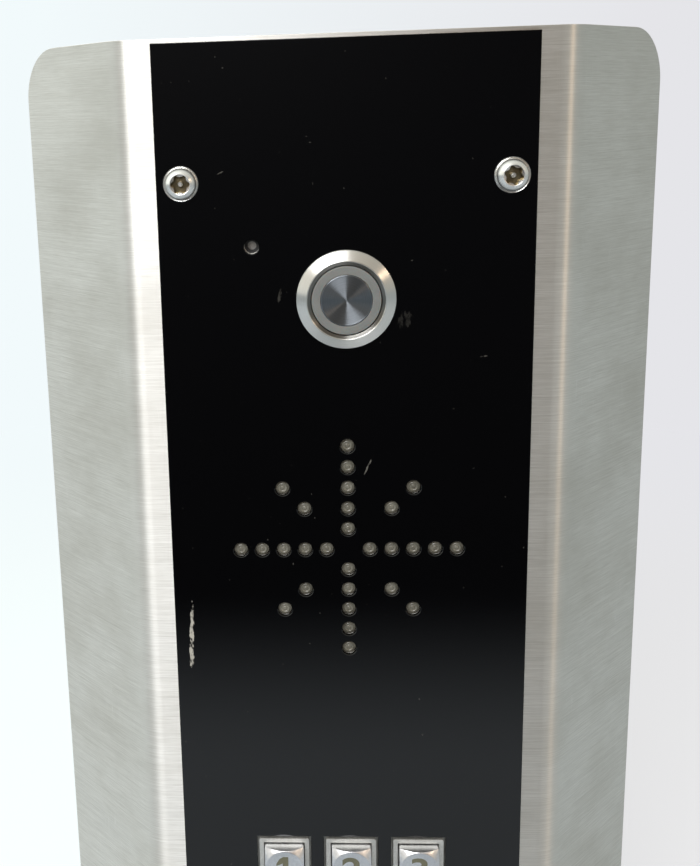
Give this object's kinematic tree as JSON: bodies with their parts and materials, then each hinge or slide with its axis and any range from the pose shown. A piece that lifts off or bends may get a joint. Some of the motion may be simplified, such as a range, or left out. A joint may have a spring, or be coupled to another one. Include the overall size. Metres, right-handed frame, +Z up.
{
  "type": "door entry panel",
  "caption": "Wall-mounted door entry panel: folded steel cover with sloping wings, black facia, ring-lit call button, speaker holes and sprung metal keypad.",
  "frame": {"origin": "centre of the back tray's rear face, on the wall plane", "axes": "+Z up along the panel's height, +Y into the wall (the panel faces -Y), +X to the right as seen from the front"},
  "size_m": [0.1488, 0.0307, 0.287],
  "materials": {
    "brushed_stainless": "brushed along the width",
    "black_acrylic": "polished black",
    "polished_stainless": "bright turned steel",
    "spun_steel": "spun faced steel",
    "light_guide": "frosted translucent plastic",
    "key_casting": "satin chrome on zinc casting",
    "zinc_steel": "bright zinc plate",
    "tray_steel": "galvanised sheet steel",
    "spring_steel": "drawn wire",
    "brass": "bright",
    "black_rubber": "moulded",
    "mat_silicone": "translucent silicone",
    "seal_foam": "closed-cell foam",
    "mesh_cloth": "fine woven dust mesh",
    "cone_paper": "treated paper",
    "ferrite": "sintered ferrite",
    "board_green": "solder-masked glass fibre",
    "black_plastic": "moulded",
    "terminal_green": "moulded",
    "relay_blue": "moulded",
    "can_sleeve": "shrunk plastic sleeve on aluminium can",
    "lamp_white": "moulded",
    "ribbon_grey": "flat cable jacket",
    "lead_grey": "cable jacket",
    "clip_white": "moulded"
  },
  "bodies": {
    "root": {"back_tray": "tray_steel", "backlight_lamps": "lamp_white", "board_chips": "black_plastic", "board_screws": "zinc_steel", "board_standoffs": "brass", "button_housing": "polished_stainless", "button_lead_cable": "lead_grey", "button_nut": "zinc_steel", "button_plug": "black_plastic", "button_seal": "black_rubber", "button_spring": "spring_steel", "button_terminals": "brass", "cable_bush": "black_rubber", "capacitors": "can_sleeve", "contact_block": "black_plastic", "facia": "black_acrylic", "front_plate": "brushed_stainless", "key_mat": "mat_silicone", "keypad_board": "board_green", "keypad_frame": "key_casting", "keypad_ribbon": "ribbon_grey", "keypad_screws": "zinc_steel", "lead_clips": "clip_white", "main_board": "board_green", "microphone": "polished_stainless", "microphone_boot": "black_rubber", "microphone_lead": "lead_grey", "pillars": "zinc_steel", "plate_seal": "seal_foam", "relay": "relay_blue", "ribbon_headers": "black_plastic", "security_screws": "polished_stainless", "speaker_clips": "zinc_steel", "speaker_cone": "cone_paper", "speaker_frame": "tray_steel", "speaker_gasket": "seal_foam", "speaker_lead": "lead_grey", "speaker_magnet": "ferrite", "speaker_mesh": "mesh_cloth", "speaker_poles": "zinc_steel", "speaker_tag": "black_plastic", "stud_nuts": "zinc_steel", "terminal_blocks": "terminal_green", "terminal_screws": "zinc_steel", "volume_trimmer": "relay_blue", "weld_studs": "zinc_steel"},
    "call_button": {"button_plunger": "light_guide", "button_disc": "spun_steel"},
    "key_0_cap": {"key_0": "key_casting"},
    "key_1_cap": {"key_1": "key_casting"},
    "key_2_cap": {"key_2": "key_casting"},
    "key_3_cap": {"key_3": "key_casting"},
    "key_4_cap": {"key_4": "key_casting"},
    "key_5_cap": {"key_5": "key_casting"},
    "key_6_cap": {"key_6": "key_casting"},
    "key_7_cap": {"key_7": "key_casting"},
    "key_8_cap": {"key_8": "key_casting"},
    "key_9_cap": {"key_9": "key_casting"},
    "key_hash_cap": {"key_hash": "key_casting"},
    "key_star_cap": {"key_star": "key_casting"}
  },
  "joints": [
    {"name": "call_button_press", "type": "slide", "parent": "root", "child": "call_button", "axis": [0, 1, 0], "range_m": [0, 0.0018], "stiffness_N_per_m": 700, "springref_m": -0.001, "deforming": ["button_spring"]},
    {"name": "key_0_press", "type": "slide", "parent": "root", "child": "key_0_cap", "axis": [0, 1, 0], "range_m": [0, 0.0012], "stiffness_N_per_m": 900, "springref_m": -0.0006, "deforming": ["key_mat"]},
    {"name": "key_1_press", "type": "slide", "parent": "root", "child": "key_1_cap", "axis": [0, 1, 0], "range_m": [0, 0.0012], "stiffness_N_per_m": 900, "springref_m": -0.0006, "deforming": ["key_mat"]},
    {"name": "key_2_press", "type": "slide", "parent": "root", "child": "key_2_cap", "axis": [0, 1, 0], "range_m": [0, 0.0012], "stiffness_N_per_m": 900, "springref_m": -0.0006, "deforming": ["key_mat"]},
    {"name": "key_3_press", "type": "slide", "parent": "root", "child": "key_3_cap", "axis": [0, 1, 0], "range_m": [0, 0.0012], "stiffness_N_per_m": 900, "springref_m": -0.0006, "deforming": ["key_mat"]},
    {"name": "key_4_press", "type": "slide", "parent": "root", "child": "key_4_cap", "axis": [0, 1, 0], "range_m": [0, 0.0012], "stiffness_N_per_m": 900, "springref_m": -0.0006, "deforming": ["key_mat"]},
    {"name": "key_5_press", "type": "slide", "parent": "root", "child": "key_5_cap", "axis": [0, 1, 0], "range_m": [0, 0.0012], "stiffness_N_per_m": 900, "springref_m": -0.0006, "deforming": ["key_mat"]},
    {"name": "key_6_press", "type": "slide", "parent": "root", "child": "key_6_cap", "axis": [0, 1, 0], "range_m": [0, 0.0012], "stiffness_N_per_m": 900, "springref_m": -0.0006, "deforming": ["key_mat"]},
    {"name": "key_7_press", "type": "slide", "parent": "root", "child": "key_7_cap", "axis": [0, 1, 0], "range_m": [0, 0.0012], "stiffness_N_per_m": 900, "springref_m": -0.0006, "deforming": ["key_mat"]},
    {"name": "key_8_press", "type": "slide", "parent": "root", "child": "key_8_cap", "axis": [0, 1, 0], "range_m": [0, 0.0012], "stiffness_N_per_m": 900, "springref_m": -0.0006, "deforming": ["key_mat"]},
    {"name": "key_9_press", "type": "slide", "parent": "root", "child": "key_9_cap", "axis": [0, 1, 0], "range_m": [0, 0.0012], "stiffness_N_per_m": 900, "springref_m": -0.0006, "deforming": ["key_mat"]},
    {"name": "key_hash_press", "type": "slide", "parent": "root", "child": "key_hash_cap", "axis": [0, 1, 0], "range_m": [0, 0.0012], "stiffness_N_per_m": 900, "springref_m": -0.0006, "deforming": ["key_mat"]},
    {"name": "key_star_press", "type": "slide", "parent": "root", "child": "key_star_cap", "axis": [0, 1, 0], "range_m": [0, 0.0012], "stiffness_N_per_m": 900, "springref_m": -0.0006, "deforming": ["key_mat"]}
  ]
}
